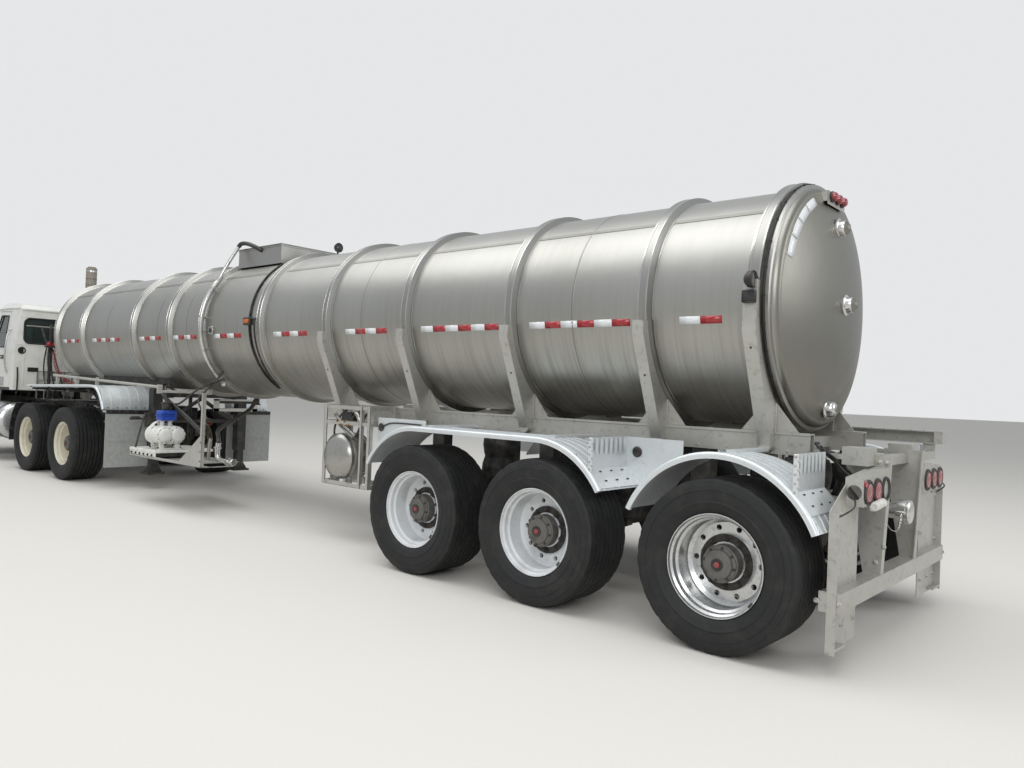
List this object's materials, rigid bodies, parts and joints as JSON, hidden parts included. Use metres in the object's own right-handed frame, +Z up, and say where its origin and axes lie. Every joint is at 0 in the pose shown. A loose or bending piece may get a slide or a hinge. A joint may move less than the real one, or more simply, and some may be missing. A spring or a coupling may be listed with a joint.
{
  "type": "tanker truck",
  "caption": "Articulated tank truck: a long round stainless tank trailer with stiffening rings on a hinged day-cab tractor.",
  "frame": {"origin": "on the ground under the middle of the truck's length and width", "axes": "+X forward along the truck, +Y to the driver's left, +Z up"},
  "size_m": [16.41, 2.8, 3.34],
  "materials": {
    "tyre_rubber": "matt",
    "polished_aluminium": "polished",
    "white_wheel_paint": "satin",
    "cream_wheel_paint": "satin",
    "brushed_stainless": "brushed",
    "bright_stainless": "polished",
    "dull_aluminium": "mill finish",
    "white_aluminium": "satin",
    "black_chassis_paint": "satin",
    "red_lens": "gloss",
    "grey_plastic": "matt",
    "white_enamel": "gloss",
    "white_cab_paint": "gloss",
    "glass": "gloss",
    "cab_trim": "grained",
    "chrome": "mirror",
    "heat_shield": "weathered",
    "red_hose": "satin",
    "black_hose": "satin"
  },
  "bodies": {
    "trailer": {"tank": "brushed_stainless", "tank_rings": "bright_stainless", "tank_cradles": "dull_aluminium", "chassis_rails": "dull_aluminium", "trailer_axles": "black_chassis_paint", "trailer_fenders": "white_aluminium", "rear_frame": "dull_aluminium", "tail_lamps": "red_lens", "side_frames": "dull_aluminium", "landing_gear": "black_chassis_paint", "upper_coupler": "black_chassis_paint", "front_wings": "white_aluminium", "splash_panels": "grey_plastic", "pump": "white_enamel", "pipework": "bright_stainless", "spill_box": "bright_stainless"},
    "tractor": {"tractor_frame": "black_chassis_paint", "fifth_wheel": "black_chassis_paint", "drive_axles": "black_chassis_paint", "front_axle": "black_chassis_paint", "engine": "black_chassis_paint", "cab": "white_cab_paint", "windows": "glass", "cab_interior": "cab_trim", "bumper": "chrome", "fuel_tanks": "polished_aluminium", "exhaust": "heat_shield", "air_line_red": "red_hose", "air_line_black": "black_hose"},
    "spill_box_lid": {"spill_box_lid": "bright_stainless"},
    "hood": {"hood": "white_cab_paint", "grille": "chrome"},
    "trailer_3_wheel_left": {"trailer_3_tyre_left": "tyre_rubber", "trailer_3_wheel_left": "polished_aluminium"},
    "trailer_3_wheel_right": {"trailer_3_tyre_right": "tyre_rubber", "trailer_3_wheel_right": "polished_aluminium"},
    "trailer_2_wheel_left": {"trailer_2_tyre_left": "tyre_rubber", "trailer_2_wheel_left": "white_wheel_paint"},
    "trailer_2_wheel_right": {"trailer_2_tyre_right": "tyre_rubber", "trailer_2_wheel_right": "white_wheel_paint"},
    "trailer_1_wheel_left": {"trailer_1_tyre_left": "tyre_rubber", "trailer_1_wheel_left": "white_wheel_paint"},
    "trailer_1_wheel_right": {"trailer_1_tyre_right": "tyre_rubber", "trailer_1_wheel_right": "white_wheel_paint"},
    "drive_2_wheel_left": {"drive_2_tyre_left": "tyre_rubber", "drive_2_wheel_left": "cream_wheel_paint"},
    "drive_2_wheel_right": {"drive_2_tyre_right": "tyre_rubber", "drive_2_wheel_right": "cream_wheel_paint"},
    "drive_1_wheel_left": {"drive_1_tyre_left": "tyre_rubber", "drive_1_wheel_left": "cream_wheel_paint"},
    "drive_1_wheel_right": {"drive_1_tyre_right": "tyre_rubber", "drive_1_wheel_right": "cream_wheel_paint"},
    "steering_knuckle_left": {"steering_knuckle_left": "black_chassis_paint"},
    "steer_wheel_left": {"steer_tyre_left": "tyre_rubber", "steer_wheel_left": "polished_aluminium"},
    "door_left": {"door_left": "white_cab_paint"},
    "steering_knuckle_right": {"steering_knuckle_right": "black_chassis_paint"},
    "steer_wheel_right": {"steer_tyre_right": "tyre_rubber", "steer_wheel_right": "polished_aluminium"},
    "door_right": {"door_right": "white_cab_paint"}
  },
  "joints": [
    {"name": "fifth_wheel_turn", "type": "hinge", "parent": "trailer", "child": "tractor", "pos_m": [3.175, 0, 1.18], "axis": [0, 0, 1], "range_deg": [-90, 90], "deforming": ["air_line_red", "air_line_black"]},
    {"name": "trailer_3_left_roll", "type": "hinge", "parent": "trailer", "child": "trailer_3_wheel_left", "pos_m": [-7.475, 1.072, 0.508], "axis": [0, 1, 0], "continuous": true},
    {"name": "trailer_3_right_roll", "type": "hinge", "parent": "trailer", "child": "trailer_3_wheel_right", "pos_m": [-7.475, -1.072, 0.508], "axis": [0, 1, 0], "continuous": true},
    {"name": "trailer_2_left_roll", "type": "hinge", "parent": "trailer", "child": "trailer_2_wheel_left", "pos_m": [-6.121, 1.072, 0.508], "axis": [0, 1, 0], "continuous": true},
    {"name": "trailer_2_right_roll", "type": "hinge", "parent": "trailer", "child": "trailer_2_wheel_right", "pos_m": [-6.121, -1.072, 0.508], "axis": [0, 1, 0], "continuous": true},
    {"name": "trailer_1_left_roll", "type": "hinge", "parent": "trailer", "child": "trailer_1_wheel_left", "pos_m": [-4.877, 1.072, 0.508], "axis": [0, 1, 0], "continuous": true},
    {"name": "trailer_1_right_roll", "type": "hinge", "parent": "trailer", "child": "trailer_1_wheel_right", "pos_m": [-4.877, -1.072, 0.508], "axis": [0, 1, 0], "continuous": true},
    {"name": "drive_2_left_roll", "type": "hinge", "parent": "tractor", "child": "drive_2_wheel_left", "pos_m": [2.45, 1.04, 0.508], "axis": [0, 1, 0], "continuous": true},
    {"name": "drive_2_right_roll", "type": "hinge", "parent": "tractor", "child": "drive_2_wheel_right", "pos_m": [2.45, -1.04, 0.508], "axis": [0, 1, 0], "continuous": true},
    {"name": "drive_1_left_roll", "type": "hinge", "parent": "tractor", "child": "drive_1_wheel_left", "pos_m": [3.865, 1.04, 0.508], "axis": [0, 1, 0], "continuous": true},
    {"name": "drive_1_right_roll", "type": "hinge", "parent": "tractor", "child": "drive_1_wheel_right", "pos_m": [3.865, -1.04, 0.508], "axis": [0, 1, 0], "continuous": true},
    {"name": "steer_left", "type": "hinge", "parent": "tractor", "child": "steering_knuckle_left", "pos_m": [7.425, 0.88, 0.508], "axis": [0, 0, 1], "range_deg": [-35, 35]},
    {"name": "steer_left_roll", "type": "hinge", "parent": "steering_knuckle_left", "child": "steer_wheel_left", "pos_m": [7.425, 1.04, 0.508], "axis": [0, 1, 0], "continuous": true},
    {"name": "door_left_swing", "type": "hinge", "parent": "tractor", "child": "door_left", "pos_m": [6.385, 1.074, 1.54], "axis": [0, 0, -1], "range_deg": [0, 68]},
    {"name": "steer_right", "type": "hinge", "parent": "tractor", "child": "steering_knuckle_right", "pos_m": [7.425, -0.88, 0.508], "axis": [0, 0, 1], "range_deg": [-35, 35]},
    {"name": "steer_right_roll", "type": "hinge", "parent": "steering_knuckle_right", "child": "steer_wheel_right", "pos_m": [7.425, -1.04, 0.508], "axis": [0, 1, 0], "continuous": true},
    {"name": "door_right_swing", "type": "hinge", "parent": "tractor", "child": "door_right", "pos_m": [6.385, -1.074, 1.54], "axis": [0, 0, 1], "range_deg": [0, 68]},
    {"name": "hood_tilt", "type": "hinge", "parent": "tractor", "child": "hood", "pos_m": [8.09, 0, 0.715], "axis": [0, 1, 0], "range_deg": [0, 65]},
    {"name": "spill_lid_swing", "type": "hinge", "parent": "trailer", "child": "spill_box_lid", "pos_m": [-1.115, -0.444, 3.078], "axis": [1, 0, 0], "range_deg": [0, 100]}
  ],
  "couplings": [
    {"joint": "steer_right", "follows": "steer_left", "ratio": 1}
  ]
}
